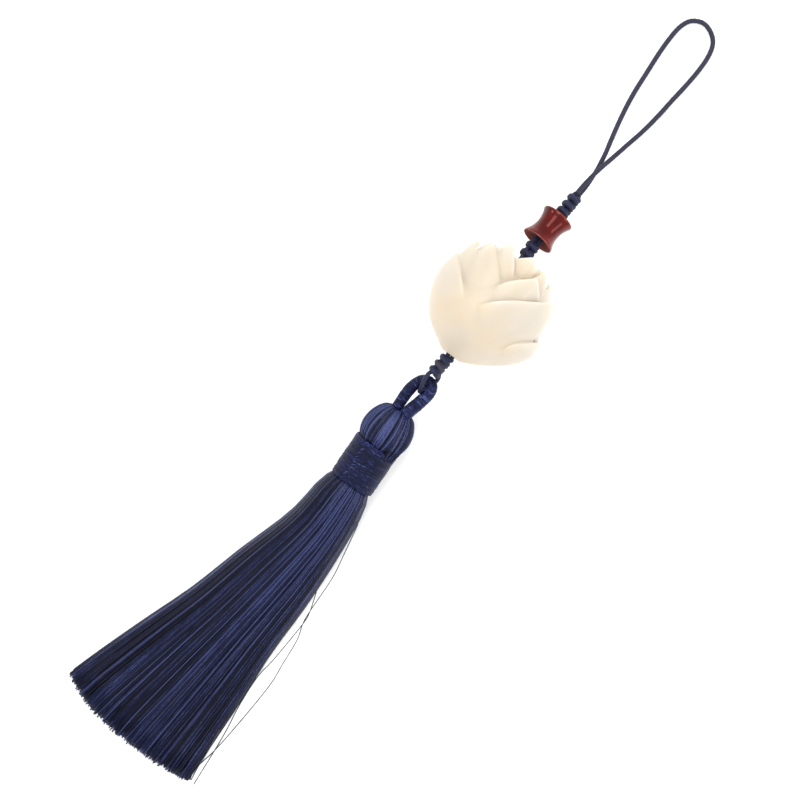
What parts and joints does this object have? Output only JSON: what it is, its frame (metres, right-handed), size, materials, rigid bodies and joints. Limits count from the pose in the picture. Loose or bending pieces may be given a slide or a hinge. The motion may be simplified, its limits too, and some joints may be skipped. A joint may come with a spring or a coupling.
{
  "type": "tassel phone charm",
  "caption": "Silk tassel charm on a thin cord loop, with a carved lotus bead, a waisted bead and knotted cord between them, lying on its back.",
  "frame": {"origin": "on the surface that the charm lies on, under the middle of everything but the free cord loop", "axes": "+Y along the charm from the skirt to the cord loop, +X to the right seen from above with +Y up, +Z up from the surface"},
  "size_m": [0.0349, 0.2034, 0.0256],
  "materials": {
    "cord": "thin round braided cord, navy with a grey tinge",
    "silk": "smooth rayon silk threads, dark navy with a blue sheen",
    "binding": "fine thread wound in close turns, dark navy",
    "red_stone": "polished dark red stone, glossy",
    "carved_seed": "carved and polished cream seed kernel, like ivory nut"
  },
  "bodies": {
    "root": {"cord_loop": "cord", "knotted_cord": "cord", "waisted_bead": "red_stone", "lotus_bead": "carved_seed", "wrapped_loop": "silk", "neck_binding": "binding", "tassel": "silk"}
  },
  "joints": []
}
